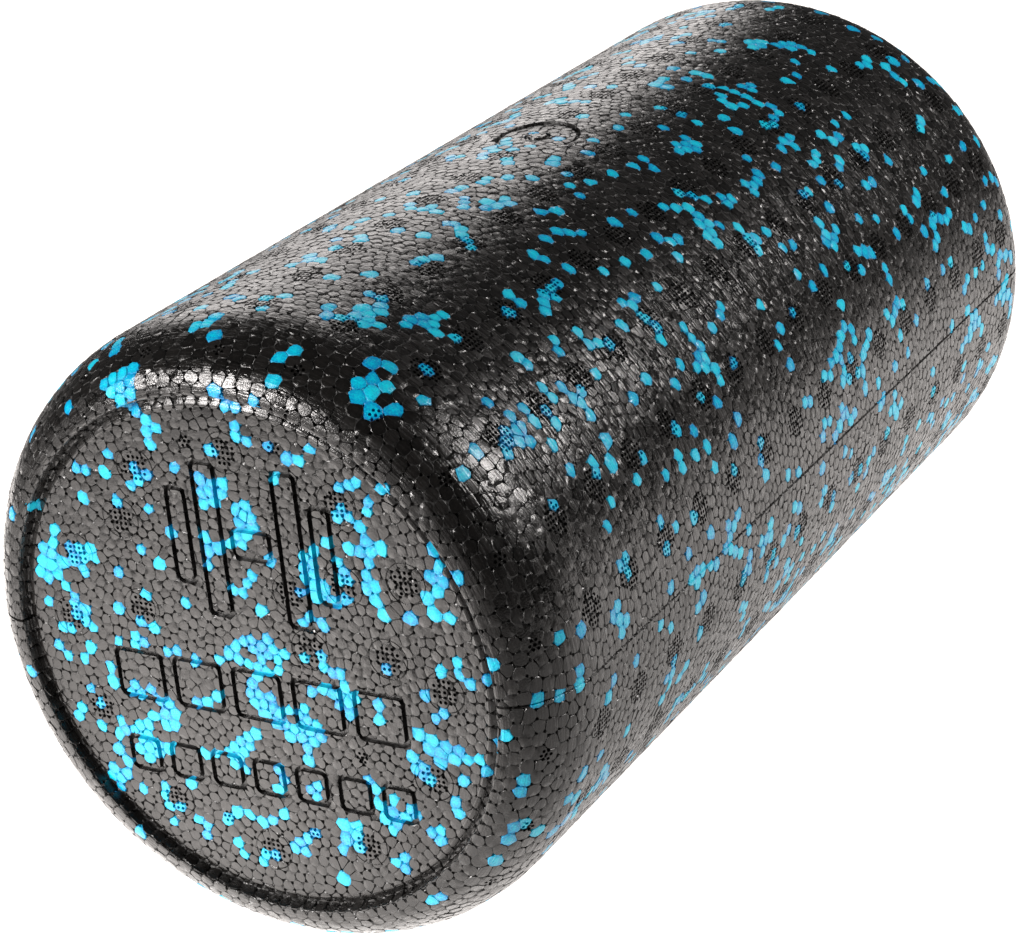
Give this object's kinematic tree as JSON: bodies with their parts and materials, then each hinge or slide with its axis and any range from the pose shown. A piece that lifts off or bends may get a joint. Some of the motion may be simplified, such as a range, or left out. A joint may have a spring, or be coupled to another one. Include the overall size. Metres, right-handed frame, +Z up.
{
  "type": "foam roller",
  "caption": "Solid cylindrical foam roller with rounded rims and grooved flat ends, moulded from fused black foam beads with blue accent beads.",
  "frame": {"origin": "centre of the roller, halfway along its axis", "axes": "+Y along the roller's axis from the marked front face to the back face, +Z up at right angles to the mould's parting plane, +X to the right when looking along +Y"},
  "size_m": [0.1524, 0.296, 0.1524],
  "materials": {
    "black_bead_foam": "semi-matt moulded bead foam skin with a faint sheen",
    "blue_bead_foam": "semi-matt moulded bead foam skin with a faint sheen"
  },
  "bodies": {
    "root": {"black_body": "black_bead_foam", "blue_beads_front_face": "blue_bead_foam", "blue_beads_front_rim": "blue_bead_foam", "blue_beads_barrel_1": "blue_bead_foam", "blue_beads_barrel_2": "blue_bead_foam", "blue_beads_barrel_3": "blue_bead_foam", "blue_beads_barrel_4": "blue_bead_foam", "blue_beads_barrel_5": "blue_bead_foam", "blue_beads_barrel_6": "blue_bead_foam", "blue_beads_back_rim": "blue_bead_foam", "blue_beads_back_face": "blue_bead_foam"}
  },
  "joints": []
}
